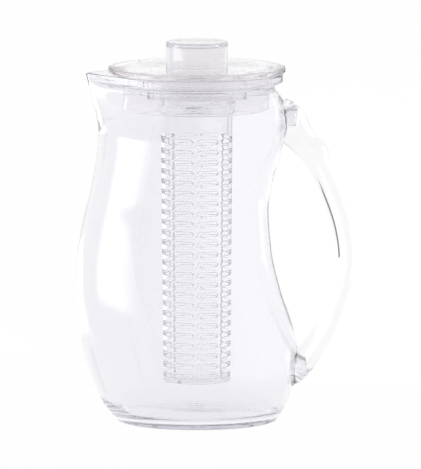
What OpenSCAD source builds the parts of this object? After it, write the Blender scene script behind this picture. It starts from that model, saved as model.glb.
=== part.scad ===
// Fruit infuser pitcher in clear plastic: a bowed jug with a spout and a bonded
// handle, a round lid that lifts and turns on a seal, and a slotted infuser that
// hangs in a threaded socket under the lid. Z is up and the jug stands on Z = 0.
// The spout points along -X and the handle along +X.

/* [Jug] */
// Height of the rim above the table
rim_h = 244.4; // [236:0.1:262]
// Height of the neck, from the shoulder to the rim
neck_h = 40.4; // [36:0.1:50]
// Outer radius of the belly at its widest
belly_r = 75.3; // [72:0.1:80]
// How far the body bows away from the handle
bow = 15.1; // [10:0.1:17]
// Wall of the body
wall = 2.6; // [2:0.1:3.4]
// Outer radius of the flat foot
foot_r = 55.5; // [50:0.1:60]
// Width of the flat ring that the jug stands on
foot_ring_w = 7; // [4:0.1:10]
// Rise of the dished base inside the foot
push_up = 7; // [4:0.1:10]
// Thickness of the base
base_t = 4.6; // [3:0.1:6]

/* [Mouth and spout] */
// Inner radius of the mouth at the rim
mouth_r = 58; // [56.5:0.1:60]
// Wall of the stepped rim
rim_wall = 2.2; // [1.6:0.1:2.8]
// Height of the thick band at the rim
rim_band_h = 5.9; // [5:0.1:7]
// Inner radius of the neck below the step
neck_bore_r = 52.1; // [50:0.1:54]
// Distance from the infuser's axis to the tip of the spout
spout_reach = 77.4; // [74:0.1:82]
// Outer radius of the spout's tip
spout_tip_r = 3.6; // [3:0.1:6]

/* [Handle] */
// Distance from the infuser's axis to the back of the handle
handle_reach = 110.6; // [106:0.1:120]
// How far the upper joint lies below the rim
handle_drop = 32.4; // [29:0.1:39]
// Height of the lower joint
handle_low_h = 35; // [32:0.5:42]
// Thickness of the grip, seen from the side
grip_t = 14.5; // [12:0.1:17]
// Width of the grip, seen from behind
grip_w = 23; // [18:0.1:28]
// Radius of the two bosses that the handle is bonded on
boss_r = 6.4; // [5:0.1:7.5]
// How far a boss stands out of the jug's wall
boss_out = 6; // [4:0.1:7]
// How far the lower boss stands above the middle of the handle's lower end
low_boss_rise = 3; // [2:0.1:4]
// Gap for the bond round a boss
bond_gap = 0.1; // [0.05:0.01:0.2]

/* [Lid] */
// Thickness of the lid's plate
lid_t = 4; // [3:0.1:6]
// How far the lid stands out over the rim
lid_over = 1.8; // [1:0.1:4]
// Radius on the upper edge of the lid
lid_edge_r = 1.4; // [0.6:0.1:1.8]
// Thickness of the lip and the skirt
lid_wall = 2; // [1.4:0.1:2.6]
// Depth of the lip below the plate
lip_h = 6.2; // [4:0.1:6.2]
// Angle of the pouring gap in the lip
pour_gap_deg = 90; // [60:1:120]
// Gap between the lip and the mouth
lip_gap = 0.5; // [0.4:0.05:1]
// Gap between the skirt and the neck
skirt_gap = 1.7; // [1:0.05:2.5]
// Depth of the skirt below the plate
skirt_h = 26.2; // [20:0.1:30]
// Thickness of the flat seal between lid and rim
seal_t = 0.8; // [0.6:0.1:1.5]
// Gap between the seal and the lip it sits round
seal_gap = 0.35; // [0.3:0.05:0.6]

/* [Knob] */
// Outer radius of the knob
knob_r = 21.7; // [18:0.1:26]
// Height of the knob above the lid
knob_h = 17.5; // [14:0.1:24]
// Wall of the hollow knob
knob_wall = 2.2; // [1.6:0.1:3]
// Thickness of the knob's top
knob_top_t = 2.6; // [2:0.1:4]
// Depth of the groove that the knob is bonded in
knob_seat = 1; // [0.6:0.1:1.6]
// Radius on the knob's upper edge
knob_edge_r = 1.2; // [0.5:0.1:1.4]

/* [Infuser socket] */
// Depth of the socket below the plate
socket_h = 16.7; // [14:0.1:19]
// Outer radius of the socket's outer wall
socket_r = 34.6; // [32:0.1:38]
// Thickness of the socket's two walls
socket_wall = 1.7; // [1.2:0.1:2]
// Thickness of the socket's upper web
socket_web_t = 2; // [1.5:0.1:3]

/* [Infuser] */
// Drop of the infuser's upper end below the lid's plate
head_drop = 10.8; // [9:0.1:12]
// Gap between the infuser's lower end and the jug's floor
rod_floor_gap = 16.3; // [12:0.1:30]
// Outer radius of the tube under the collar
rod_top_r = 25.2; // [24.8:0.1:25.8]
// Outer radius of the tube at its lower end
rod_low_r = 23.4; // [22:0.1:24.6]
// Radius of the bore at the top
rod_bore_top_r = 22.8; // [22:0.1:23.2]
// Radius of the bore at the bottom
rod_bore_low_r = 21.4; // [20:0.1:21.8]
// Outer radius of the journal that the collar turns on
journal_r = 24.6; // [24.3:0.1:24.8]
// Thickness of the flange that hangs on the collar
hanger_t = 1.6; // [1.2:0.1:2.4]
// Height of the lower disc of the end cap
cap_t = 2; // [1.5:0.1:3]
// Height of the end cap's plug inside the tube
cap_plug_h = 1.2; // [0.8:0.1:1.4]
// Least height from the middle of the top row of slots to the tube's upper edge
slot_top_gap = 20; // [10:0.1:40]
// Number of slots in each row
slot_cols = 8; // [4:2:8]
// Spacing of the rows
slot_pitch = 7.17; // [6.4:0.01:7.2]
// Height of a slot
slot_h = 3.1; // [2.4:0.1:4]
// Width of the rib between two slots
slot_rib = 3.2; // [2.4:0.1:5]
// Height of the lowest row above the tube's lower edge
slot_first = 3; // [2.6:0.1:5]
// Turn of the slots about the axis
slot_turn_deg = 19.5; // [0:0.5:45]

/* [Thread] */
// Radius of the collar's thread at its crest
thread_crest_r = 27.2; // [27:0.05:27.6]
// Depth of the threads
thread_depth = 1; // [0.8:0.05:1.2]
// Pitch of the threads
thread_pitch = 4; // [3.6:0.1:5]
// Width of a thread at its root
thread_root_w = 1.6; // [1.2:0.1:1.8]
// Width of a thread at its crest
thread_crest_w = 0.8; // [0.5:0.1:1]
// Gap between the two threads, crest to root
thread_gap = 0.3; // [0.25:0.05:0.5]
// Height of the collar
collar_h = 13; // [10:0.1:14]
// Running gap between the collar and the journal
journal_gap = 0.08; // [0.05:0.01:0.1]
// End play of the collar on the journal
collar_play = 0.2; // [0.1:0.05:0.5]
// Turns of thread on the collar
collar_turns = 2.4; // [1.5:0.1:2.6]
// Turns of thread in the socket
socket_turns = 1.6; // [1.2:0.1:2]

/* [Hidden] */

// Facets of the drawn circles, sides of the jug and the handle, rings between rows
$fn = 96;
jug_sides = 48;
handle_sides = 16;
handle_steps = 3;
thread_sides = 30;

// Colour of the clear plastic
clear = [0.93, 0.93, 0.97, 0.35];
// Overrun of a cut past the face it goes through
cut = 1;
// Sink of a thread's root into its wall
thread_sink = 0.3;

shoulder_h = rim_h - neck_h;
handle_top_h = rim_h - handle_drop;
rim_out_r = mouth_r + rim_wall;
neck_out_r = neck_bore_r + wall;
seal_out_r = rim_out_r - bond_gap;
lid_low = rim_h + seal_t;
lid_high = lid_low + lid_t;
lid_r = rim_out_r + lid_over;
lip_r = mouth_r - lip_gap;
skirt_r = neck_bore_r - skirt_gap;

// Body rows from foot to shoulder: height, radius and bow, as shares of
// shoulder_h, belly_r and bow
body_shares = [
    [0.030, 0.800, 0.04], [0.0745, 0.872, 0.12], [0.160, 0.955, 0.19],
    [0.240, 0.998, 0.28], [0.309, 0.998, 0.46], [0.375, 0.981, 0.65],
    [0.4415, 0.957, 0.83], [0.5515, 0.916, 1.00], [0.6206, 0.892, 1.00],
    [0.707, 0.861, 0.93], [0.7725, 0.842, 0.80], [0.8417, 0.840, 0.62],
    [0.897, 0.851, 0.43], [0.950, 0.866, 0.28], [1.000, 0.877, 0.19]];

// Neck rows from shoulder to rim. Height is a share of the way from shoulder_h to
// rim_h, radius a share of the way from neck_out_r to the shoulder's radius, the
// spout's own radius a share of the way from spout_tip_r to that radius, and reach
// a share of the way from the shoulder's edge to spout_reach
neck_shares = [
    [0.17, 0.840, 0.60, 0.09], [0.35, 0.640, 0.33, 0.23], [0.53, 0.460, 0.15, 0.46],
    [0.63, 0.240, 0.095, 0.58], [0.70, 0.055, 0.065, 0.68], [0.745, 0.000, 0.05, 0.74],
    [0.795, 0.090, 0.035, 0.81]];

// Share of the neck's height over which the bow fades out
bow_end_share = 1 / 3;

shoulder_r = body_shares[len(body_shares) - 1][1] * belly_r;
shoulder_bow = body_shares[len(body_shares) - 1][2] * bow;
shoulder_reach = shoulder_r + shoulder_bow;
band_low = rim_h - rim_band_h;
// The spout's edge draws in a little under the rim band
band_reach_share = 0.88;
band_reach = shoulder_reach + band_reach_share * (spout_reach - shoulder_reach);

// A row is height, radius, bow, radius of the spout's circle and the spout's reach
body_rows = [for (s = body_shares)
    [s[0] * shoulder_h, s[1] * belly_r, s[2] * bow, s[1] * belly_r,
     s[1] * belly_r + s[2] * bow]];
neck_rows = [for (s = neck_shares)
    [shoulder_h + s[0] * (rim_h - shoulder_h),
     neck_out_r + s[1] * (shoulder_r - neck_out_r),
     max(0, 1 - s[0] / bow_end_share) * shoulder_bow,
     spout_tip_r + s[2] * (shoulder_r - spout_tip_r),
     shoulder_reach + s[3] * (spout_reach - shoulder_reach)]];
foot_rows = [
    [0, foot_r, 0, foot_r, foot_r]];
band_rows = [
    [band_low, rim_out_r, 0, spout_tip_r, band_reach],
    [rim_h, rim_out_r, 0, spout_tip_r, spout_reach]];

outer_rows = concat(foot_rows, body_rows, neck_rows, band_rows);

// The inside follows the outside at one wall's distance, with a step under the rim
function inside(r) =
    [r[0], r[1] - wall, r[2], max(r[3] - wall, wall / 2), r[4] - wall];
// Height of the step from the neck's bore out to the rim's
ledge_t = 1;
inner_wall_rows = [for (r = concat(body_rows, neck_rows))
    if (r[0] > 2 * base_t && r[0] < rim_h - rim_band_h - ledge_t) inside(r)];
mouth_rows = [
    [band_low - ledge_t / 2, neck_bore_r, 0, spout_tip_r - rim_wall / 2, band_reach - rim_wall],
    [band_low, mouth_r, 0, spout_tip_r - rim_wall / 2, band_reach - rim_wall],
    [rim_h, mouth_r, 0, spout_tip_r - rim_wall / 2, spout_reach - rim_wall]];
inner_rows = concat(inner_wall_rows, mouth_rows);

// The base dishes upwards inside its flat ring: radius share and rise share
dish_shares = [[1, 0], [0.80, 0.30], [0.50, 0.80], [0.20, 1]];
dish_r = foot_r - foot_ring_w;
dish_rows = [for (s = dish_shares) [s[1] * push_up, s[0] * dish_r, 0, s[0] * dish_r, s[0] * dish_r]];
floor_rows = [for (s = dish_shares)
    [base_t + s[1] * push_up, s[0] * dish_r, 0, s[0] * dish_r, s[0] * dish_r]];

// One ring of a row: a circle, drawn out to the spout where the spout's circle reaches further
function ring(r) = [for (k = [0 : jug_sides - 1])
    let (a = 360 * k / jug_sides, d = r[4] - r[3],
         round_reach = r[1] - r[2] * cos(a), spout_side = r[3] - d * cos(a))
    spout_side > round_reach
        ? [r[3] * cos(a) - d, r[3] * sin(a), r[0]]
        : [r[1] * cos(a) - r[2], r[1] * sin(a), r[0]]];

function reversed(list) = [for (i = [len(list) - 1 : -1 : 0]) list[i]];

// A closed skin over rings of n points each, with the first and last ring capped
module skin(rings, n) {
    faces = concat(
        [for (i = [0 : len(rings) - 2], k = [0 : n - 1])
            [i * n + k, i * n + (k + 1) % n, (i + 1) * n + (k + 1) % n]],
        [for (i = [0 : len(rings) - 2], k = [0 : n - 1])
            [i * n + k, (i + 1) * n + (k + 1) % n, (i + 1) * n + k]],
        [[for (k = [n - 1 : -1 : 0]) k]],
        [[for (k = [0 : n - 1]) (len(rings) - 1) * n + k]]);
    polyhedron([for (r = rings, p = r) p], [for (f = faces) reversed(f)]);
}

module jug_shell() {
    rows = concat(reversed(dish_rows), outer_rows, reversed(inner_rows), floor_rows);
    skin([for (r = rows) ring(r)], jug_sides);
}

module jug_solid() {
    skin([for (r = outer_rows) ring(r)], jug_sides);
}

// Radius of the jug's outer wall on the handle's side at height h
function between(rows, h, i = 0) =
    i >= len(rows) - 2 || h <= rows[i + 1][0]
        ? let (t = (h - rows[i][0]) / (rows[i + 1][0] - rows[i][0]))
            rows[i] + t * (rows[i + 1] - rows[i])
        : between(rows, h, i + 1);
function wall_x(h) = let (r = between(outer_rows, h)) r[1] - r[2];

module boss(h, r, len) {
    translate([wall_x(h) - wall / 2, 0, h]) rotate([0, 90, 0]) cylinder(h = len + wall / 2, r = r);
}

module jug_body() {
    color(clear) translate([axis_x, 0, 0]) {
        jug_shell();
        boss(handle_top_h, boss_r, boss_out);
        boss(handle_low_h + low_boss_rise, boss_r, boss_out);
    }
}

// Handle stations from the upper joint to the lower one. Each is: out, as a share of
// the way from the foot's plane to the grip's back; height, as a share of the way
// from the lower joint to the upper one; half thickness outwards and inwards, as
// shares of grip_t; half width, as a share of grip_w
handle_shares = [
    [-0.02, 1.000, 1.07, 1.07, 0.62], [0.12, 0.986, 1.00, 1.00, 0.61],
    [0.24, 0.952, 0.84, 0.84, 0.58], [0.37, 0.910, 0.66, 0.70, 0.55],
    [0.50, 0.861, 0.82, 0.57, 0.53], [0.60, 0.809, 0.60, 0.51, 0.51],
    [0.76, 0.714, 0.49, 0.49, 0.50], [0.93, 0.584, 0.50, 0.50, 0.50],
    [1.00, 0.452, 0.50, 0.50, 0.50], [0.96, 0.352, 0.50, 0.50, 0.50],
    [0.83, 0.256, 0.52, 0.52, 0.50], [0.71, 0.169, 0.53, 0.53, 0.51],
    [0.56, 0.104, 0.55, 0.55, 0.53], [0.42, 0.056, 0.60, 0.60, 0.55],
    [0.27, 0.018, 0.73, 0.73, 0.57], [0.10, 0.000, 0.86, 0.86, 0.58],
    [-0.02, 0.000, 0.90, 0.90, 0.58]];

handle_in_x = min(wall_x(handle_top_h), wall_x(handle_low_h)) - 2 * wall;
handle_out_x = handle_reach - grip_t / 2;
handle_rows = [for (s = handle_shares)
    [handle_in_x + s[0] * (handle_out_x - handle_in_x),
     handle_low_h + s[1] * (handle_top_h - handle_low_h),
     s[2] * grip_t, s[3] * grip_t, s[4] * grip_w]];

// A smooth curve through rows, at t from row i to row i + 1
function smooth(rows, i, t) =
    let (last = len(rows) - 1,
         a = rows[max(i - 1, 0)], b = rows[i], c = rows[min(i + 1, last)],
         d = rows[min(i + 2, last)])
    (2 * b + (c - a) * t + (2 * a - 5 * b + 4 * c - d) * t * t
     + (3 * b - a - 3 * c + d) * t * t * t) / 2;

handle_line = concat(
    [for (i = [0 : len(handle_rows) - 2], k = [0 : handle_steps - 1])
        smooth(handle_rows, i, k / handle_steps)],
    [handle_rows[len(handle_rows) - 1]]);

// Squareness of the grip's oval: 1 is an ellipse, less is squarer
oval = 0.8;
function squared(v) = sign(v) * pow(abs(v), oval);

function handle_ring(i) =
    let (last = len(handle_line) - 1, p = handle_line[i],
         step = handle_line[min(i + 1, last)] - handle_line[max(i - 1, 0)],
         run = norm([step[0], step[1]]), side = [-step[1] / run, step[0] / run])
    [for (k = [0 : handle_sides - 1])
        let (a = 360 * k / handle_sides, out = squared(cos(a)),
             off = out * (out > 0 ? p[2] : p[3]))
        [p[0] + off * side[0], squared(sin(a)) * p[4], p[1] + off * side[1]]];

handle_rings = [for (i = [0 : len(handle_line) - 1]) handle_ring(i)];

// The overall box is centred on X = 0, so the infuser's axis stands at axis_x
box_left = max([for (r = outer_rows) r[4]]);
box_right = max([for (r = handle_rings, p = r) p[0]]);
axis_x = (box_left - box_right) / 2;

module handle() {
    color(clear) translate([axis_x, 0, 0]) difference() {
        skin(handle_rings, handle_sides);
        jug_solid();
        boss(handle_top_h, boss_r + bond_gap, boss_out + bond_gap);
        boss(handle_low_h + low_boss_rise, boss_r + bond_gap, boss_out + bond_gap);
    }
}

module ring_solid(inner_r, outer_r, low, high) {
    difference() {
        translate([0, 0, low]) cylinder(h = high - low, r = outer_r);
        translate([0, 0, low - cut]) cylinder(h = high - low + 2 * cut, r = inner_r);
    }
}

module lid_seal() {
    color([0.95, 0.95, 0.97, 0.5]) translate([axis_x, 0, 0])
        ring_solid(lip_r + seal_gap, seal_out_r, rim_h, lid_low);
}

module rounded_disc(r, low, high, edge) {
    rotate_extrude() {
        translate([0, low]) square([r, high - low - edge]);
        translate([0, low]) square([r - edge, high - low]);
        translate([r - edge, high - edge]) circle(r = edge);
    }
}

module lid() {
    color(clear) translate([axis_x, 0, 0]) {
        difference() {
            rounded_disc(lid_r, lid_low, lid_high, lid_edge_r);
            ring_solid(knob_r - knob_wall - bond_gap, knob_r + bond_gap,
                       lid_high - knob_seat, lid_high + cut);
        }
        ring_solid(skirt_r - lid_wall, skirt_r, lid_low - skirt_h, lid_low);
        rotate([0, 0, 180 + pour_gap_deg / 2]) rotate_extrude(angle = 360 - pour_gap_deg)
            translate([lip_r - lid_wall, lid_low - lip_h]) square([lid_wall, lip_h]);
    }
}

module lid_knob() {
    low = lid_high - knob_seat;
    high = lid_high + knob_h;
    color(clear) translate([axis_x, 0, 0]) difference() {
        rounded_disc(knob_r, low, high, knob_edge_r);
        translate([0, 0, low - cut])
            cylinder(h = high - knob_top_t - low + cut, r = knob_r - knob_wall);
    }
}

// A helical rib. It starts at height low, runs the given turns and stands from root_r
// to crest_r, so a crest_r under root_r makes an inner thread
module thread(root_r, crest_r, low, turns, start_deg) {
    sink = crest_r > root_r ? -thread_sink : thread_sink;
    count = ceil(turns * thread_sides);
    profile = [[root_r + sink, -thread_root_w / 2], [crest_r, -thread_crest_w / 2],
               [crest_r, thread_crest_w / 2], [root_r + sink, thread_root_w / 2]];
    points = crest_r > root_r ? profile : reversed(profile);
    rings = [for (i = [0 : count])
        let (a = start_deg + 360 * turns * i / count, h = low + thread_pitch * turns * i / count)
        [for (p = points) [p[0] * cos(a), p[0] * sin(a), h + p[1]]]];
    skin([for (r = rings) reversed(r)], len(profile));
}

socket_bore_r = thread_crest_r + thread_gap;
socket_low = lid_low - socket_h;
rod_low_h = push_up + base_t + rod_floor_gap;
rod_high = lid_low - head_drop;
hanger_low = rod_high - hanger_t;
collar_high = hanger_low - collar_play / 2;
collar_low = collar_high - collar_h;
journal_low = collar_low - collar_play / 2;
collar_root_r = thread_crest_r - thread_depth;
tube_low = rod_low_h + cap_t;
slot_rows = 1 + floor((journal_low - slot_top_gap - tube_low - slot_first) / slot_pitch);

// The collar's top turn of thread and the socket's lowest one lie half a pitch apart
collar_thread_low = collar_high - thread_root_w / 2 - collar_turns * thread_pitch;
socket_thread_low = socket_low + thread_root_w / 2;
// Angle at which the socket's thread runs half a pitch above the collar's
socket_thread_deg = 360 * (socket_thread_low - collar_thread_low) / thread_pitch + 180;

module infuser_socket() {
    color(clear) translate([axis_x, 0, 0]) {
        difference() {
            ring_solid(socket_bore_r, socket_r, socket_low, lid_low);
            ring_solid(socket_bore_r + socket_wall, socket_r - socket_wall,
                       socket_low - cut, lid_low - socket_web_t);
        }
        thread(socket_bore_r, socket_bore_r - thread_depth, socket_thread_low, socket_turns,
               socket_thread_deg);
    }
}

module infuser_collar() {
    color(clear) translate([axis_x, 0, 0]) {
        ring_solid(journal_r + journal_gap, collar_root_r, collar_low, collar_high);
        thread(collar_root_r, thread_crest_r, collar_thread_low, collar_turns, 0);
    }
}

// Outer radius of the tube at height h, on its taper
function rod_r(h) = rod_low_r + (rod_top_r - rod_low_r) * (h - tube_low) / (journal_low - tube_low);

// One row of slots. Its cuts run right across the tube, past its widest place
module slot_row() {
    reach = 2 * rod_top_r;
    width = 2 * rod_low_r * sin(180 / slot_cols) - slot_rib;
    for (k = [0 : slot_cols / 2 - 1])
        rotate([90, 0, slot_turn_deg + 360 * k / slot_cols])
            linear_extrude(height = reach + 2 * cut, center = true) {
                square([width - slot_h, slot_h], center = true);
                for (side = [-1, 1]) translate([side * (width - slot_h) / 2, 0]) circle(d = slot_h);
            }
}

module infuser_tube() {
    color(clear) translate([axis_x, 0, 0]) difference() {
        // The round wall's seam lies in a rib between two slots
        rotate([0, 0, slot_turn_deg + 180 / slot_cols]) rotate_extrude() polygon([
            [rod_bore_low_r, tube_low], [rod_low_r, tube_low], [rod_top_r, journal_low],
            [journal_r, journal_low], [journal_r, hanger_low], [collar_root_r, hanger_low],
            [collar_root_r, rod_high], [rod_bore_top_r, rod_high]]);
        for (i = [0 : slot_rows - 1])
            translate([0, 0, tube_low + slot_first + i * slot_pitch]) slot_row();
    }
}

module infuser_end_cap() {
    color(clear) translate([axis_x, 0, rod_low_h]) {
        cylinder(h = cap_t, r = rod_low_r);
        cylinder(h = cap_t + cap_plug_h, r = rod_bore_low_r - bond_gap);
    }
}

jug_body();
handle();
lid_seal();
lid();
lid_knob();
infuser_socket();
infuser_collar();
infuser_tube();
infuser_end_cap();
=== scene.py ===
"""Looks of a clear fruit infuser pitcher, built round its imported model.

The pieces are made in millimetres, about the infuser's axis, and finish_mesh puts them
in the frame in metres. The camera, the floor and the panels are given in metres. Z is up.
"""
import bpy
import bmesh
import math
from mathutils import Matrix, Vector


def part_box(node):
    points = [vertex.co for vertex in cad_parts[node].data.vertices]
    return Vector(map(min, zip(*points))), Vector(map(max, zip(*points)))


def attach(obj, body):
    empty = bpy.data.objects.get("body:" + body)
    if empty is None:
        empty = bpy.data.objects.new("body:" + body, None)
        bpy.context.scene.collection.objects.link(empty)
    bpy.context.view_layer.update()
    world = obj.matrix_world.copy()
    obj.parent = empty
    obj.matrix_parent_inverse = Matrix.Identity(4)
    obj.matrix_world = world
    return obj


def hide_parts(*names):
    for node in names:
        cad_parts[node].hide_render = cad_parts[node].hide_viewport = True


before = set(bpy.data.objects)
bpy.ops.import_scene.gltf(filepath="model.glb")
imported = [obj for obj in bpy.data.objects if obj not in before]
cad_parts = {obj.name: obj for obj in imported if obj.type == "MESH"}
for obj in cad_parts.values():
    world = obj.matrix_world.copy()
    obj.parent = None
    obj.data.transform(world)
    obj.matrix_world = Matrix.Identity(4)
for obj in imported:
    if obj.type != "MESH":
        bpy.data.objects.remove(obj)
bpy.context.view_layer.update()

MM = 0.001


def span(node):
    """A node's box in millimetres, as (low, high)."""
    low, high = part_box(node)
    return [v / MM for v in low], [v / MM for v in high]


def middle(node, axis):
    low, high = span(node)
    return (low[axis] + high[axis]) / 2


# Radius of the belly's widest row, as a share of BELLY_R
BELLY_SHARE = 0.998

# Places read from the frame
AXIS_X = middle("lid", 0)
RIM_H = span("lid_seal")[0][2]
LID_LOW = span("lid_seal")[1][2]
LID_HIGH = span("lid")[1][2]
SKIRT_LOW = span("lid")[0][2]
LID_R = span("lid")[1][1]
KNOB_HIGH = span("lid_knob")[1][2]
KNOB_R = span("lid_knob")[1][1]
KNOB_LOW = span("lid_knob")[0][2]
SOCKET_LOW = span("infuser_socket")[0][2]
SOCKET_R = span("infuser_socket")[1][1]
TUBE_LOW, TUBE_HIGH = span("infuser_tube")[0][2], span("infuser_tube")[1][2]
HANGER_R = span("infuser_tube")[1][1]
COLLAR_LOW, COLLAR_HIGH = span("infuser_collar")[0][2], span("infuser_collar")[1][2]
COLLAR_CREST_R = span("infuser_collar")[1][1]
CAP_LOW, CAP_HIGH = span("infuser_end_cap")[0][2], span("infuser_end_cap")[1][2]
CAP_R = span("infuser_end_cap")[1][1]
SEAL_R = span("lid_seal")[1][1]
BODY_LEFT = AXIS_X - span("jug_body")[0][0]
BELLY_R = span("jug_body")[1][1] / BELLY_SHARE
HANDLE_REACH = span("handle")[1][0] - AXIS_X

# Sizes of the jug that the frame's boxes don't give
SHOULDER_H = 204
BOW = 15.1
WALL = 2.6
FOOT_R = 55.5
FOOT_RING = 7
PUSH_UP = 7
BASE_T = 4.6
MOUTH_R = 58
RIM_WALL = 2.2
BAND_H = 5.9
NECK_BORE_R = 52.1
SPOUT_REACH = 77.4
SPOUT_TIP_R = 3.6
# The wall at the spout's tip in the mouth, and how far the wall below thins towards it
SPOUT_WALL = 1.5
SPOUT_THINNING = 1.1
RIM_OUT_R = MOUTH_R + RIM_WALL
NECK_OUT_R = NECK_BORE_R + WALL
BAND_LOW = RIM_H - BAND_H

# Gaps between pieces: bonded ones, and ones that rest on each other
BOND = 0.1
TOUCH = 0.02

# Points round a lathed piece
SEGMENTS = 168
SMALL_SEGMENTS = 144


# Meshes

WELD = 0.004 * MM
SHARP_DEG = 32


def finish_mesh(name, verts, faces, body, node, matt_shaded=()):
    """An object from points in millimetres, about the infuser's axis.

    The faces numbered in the last argument take the object's second material. On the tube that is a
    rougher, darker one that paints shade on the slot walls.
    """
    mesh = bpy.data.meshes.new(name)
    mesh.from_pydata([((x + AXIS_X) * MM, y * MM, z * MM) for x, y, z in verts], [], faces)
    for i in matt_shaded:
        mesh.polygons[i].material_index = 1
    bm = bmesh.new()
    bm.from_mesh(mesh)
    bmesh.ops.remove_doubles(bm, verts=bm.verts, dist=WELD)
    bmesh.ops.dissolve_degenerate(bm, edges=bm.edges, dist=WELD)
    bmesh.ops.recalc_face_normals(bm, faces=bm.faces)
    bm.to_mesh(mesh)
    bm.free()
    piece = bpy.data.objects.new(name, mesh)
    bpy.context.scene.collection.objects.link(piece)
    mesh.shade_smooth()
    mesh.set_sharp_from_angle(angle=math.radians(SHARP_DEG))
    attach(piece, body)
    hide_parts(*node)
    return piece


def grid_faces(rows, cols, wrap=True, closed=False):
    """Quads over rows of cols points.

    wrap joins each row's ends, and closed joins the last row to the first.
    """
    faces = []
    for i in range(rows if closed else rows - 1):
        for k in range(cols if wrap else cols - 1):
            a, b = i * cols + k, i * cols + (k + 1) % cols
            c, d = (i + 1) % rows * cols + (k + 1) % cols, (i + 1) % rows * cols + k
            faces.append((a, b, c, d))
    return faces


def joined(parts):
    """Several (points, faces) as one."""
    verts, faces = [], []
    for v, f in parts:
        faces += [tuple(i + len(verts) for i in face) for face in f]
        verts += v
    return verts, faces


def round_about(outline, degrees):
    """An outline of (radius, height) turned to each of the angles, row by row."""
    return [(r * math.cos(math.radians(d)), r * math.sin(math.radians(d)), z)
            for r, z in outline for d in degrees]


def arc(r, start, end, steps):
    """Points on an arc about (0, 0), without its last one. The angles are in degrees."""
    turns = [math.radians(start + (end - start) * i / steps) for i in range(steps)]
    return [(r * math.cos(a), r * math.sin(a)) for a in turns]


def filleted(corners, steps):
    """A closed outline of (radius, height, rounding) corners, each one rounded."""
    out = []
    n = len(corners)
    for i, (x, y, r) in enumerate(corners):
        ax, ay = corners[i - 1][0] - x, corners[i - 1][1] - y
        bx, by = corners[(i + 1) % n][0] - x, corners[(i + 1) % n][1] - y
        la, lb = math.hypot(ax, ay), math.hypot(bx, by)
        if r == 0:
            out.append((x, y))
            continue
        ax, ay, bx, by = ax / la, ay / la, bx / lb, by / lb
        half = math.acos(max(-1, min(1, ax * bx + ay * by))) / 2
        reach = min(r / math.tan(half), la * 0.49, lb * 0.49)
        r = reach * math.tan(half)
        mx, my = ax + bx, ay + by
        lm = math.hypot(mx, my)
        cx, cy = x + mx / lm * r / math.sin(half), y + my / lm * r / math.sin(half)
        a0 = math.atan2(y + ay * reach - cy, x + ax * reach - cx)
        a1 = math.atan2(y + by * reach - cy, x + bx * reach - cx)
        turn = (a1 - a0 + math.pi) % (2 * math.pi) - math.pi
        for k in range(steps + 1):
            a = a0 + turn * k / steps
            out.append((cx + r * math.cos(a), cy + r * math.sin(a)))
    return out


def lathe(name, profile, body, node, segments):
    """A closed outline of (radius, height) turned about the infuser's axis."""
    turns = [2 * math.pi * k / segments for k in range(segments)]
    verts = [(r * math.cos(a), r * math.sin(a), z) for r, z in profile for a in turns]
    faces = grid_faces(len(profile), segments, closed=profile[0][0] > 0)
    return finish_mesh(name, verts, faces, body, node)


def smooth(rows, i, t):
    """A smooth curve through rows, at t from row i to row i + 1."""
    last = len(rows) - 1
    a, b = rows[max(i - 1, 0)], rows[i]
    c, d = rows[min(i + 1, last)], rows[min(i + 2, last)]
    return [(2 * q + (r - p) * t + (2 * p - 5 * q + 4 * r - s) * t * t
             + (3 * q - p - 3 * r + s) * t ** 3) / 2
            for p, q, r, s in zip(a, b, c, d)]


def smoothed(rows, steps):
    """The rows with smooth ones between them, so many to a step."""
    out = [smooth(rows, i, k / steps) for i in range(len(rows) - 1) for k in range(steps)]
    return out + [list(rows[-1])]


# Jug

# From foot to shoulder: height and radius as shares of SHOULDER_H and BELLY_R, and bow
# as a share of BOW
BODY_SHARES = [
    (0.030, 0.800, 0.04), (0.0745, 0.872, 0.12), (0.160, 0.955, 0.19),
    (0.240, 0.998, 0.28), (0.309, 0.998, 0.46), (0.375, 0.981, 0.65),
    (0.4415, 0.957, 0.83), (0.5515, 0.916, 1.00), (0.6206, 0.892, 1.00),
    (0.707, 0.861, 0.93), (0.7725, 0.842, 0.80), (0.8417, 0.840, 0.62),
    (0.897, 0.851, 0.43), (0.950, 0.866, 0.28), (1.000, 0.877, 0.19)]
# From shoulder to neck: height as a share of the way to the rim, radius and the spout
# circle's radius as shares of the way back to the shoulder's, and the spout's reach
NECK_SHARES = [
    (0.17, 0.840, 0.60, 0.09), (0.35, 0.640, 0.33, 0.23), (0.53, 0.460, 0.15, 0.46),
    (0.63, 0.240, 0.095, 0.58), (0.70, 0.055, 0.065, 0.68), (0.745, 0.000, 0.05, 0.74),
    (0.795, 0.090, 0.035, 0.81)]
# The base's dish: radius share and rise share
DISH_SHARES = [(0, 1), (0.20, 1), (0.50, 0.80), (0.80, 0.30), (1, 0)]
SHOULDER_R = BODY_SHARES[-1][1] * BELLY_R
SHOULDER_BOW = BODY_SHARES[-1][2] * BOW
SHOULDER_REACH = SHOULDER_R + SHOULDER_BOW
BAND_REACH = SHOULDER_REACH + 0.88 * (SPOUT_REACH - SHOULDER_REACH)
DISH_R = FOOT_R - FOOT_RING
# How many times faster than the neck rises the bow goes out of it
BOW_FADE = 3
# How far the smooth skin stays inside the solid's own sides
INSET = 0.01
SKIN_STEPS = 4
DISH_STEPS = 5

# Points of a ring: half the spout's fan in degrees, its steps and how closely they crowd
# to the tip, and the steps of the rest
FAN_DEG = 9
FAN_STEPS = 22
FAN_CROWD = 0.35
ROUND_STEPS = 156

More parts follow.
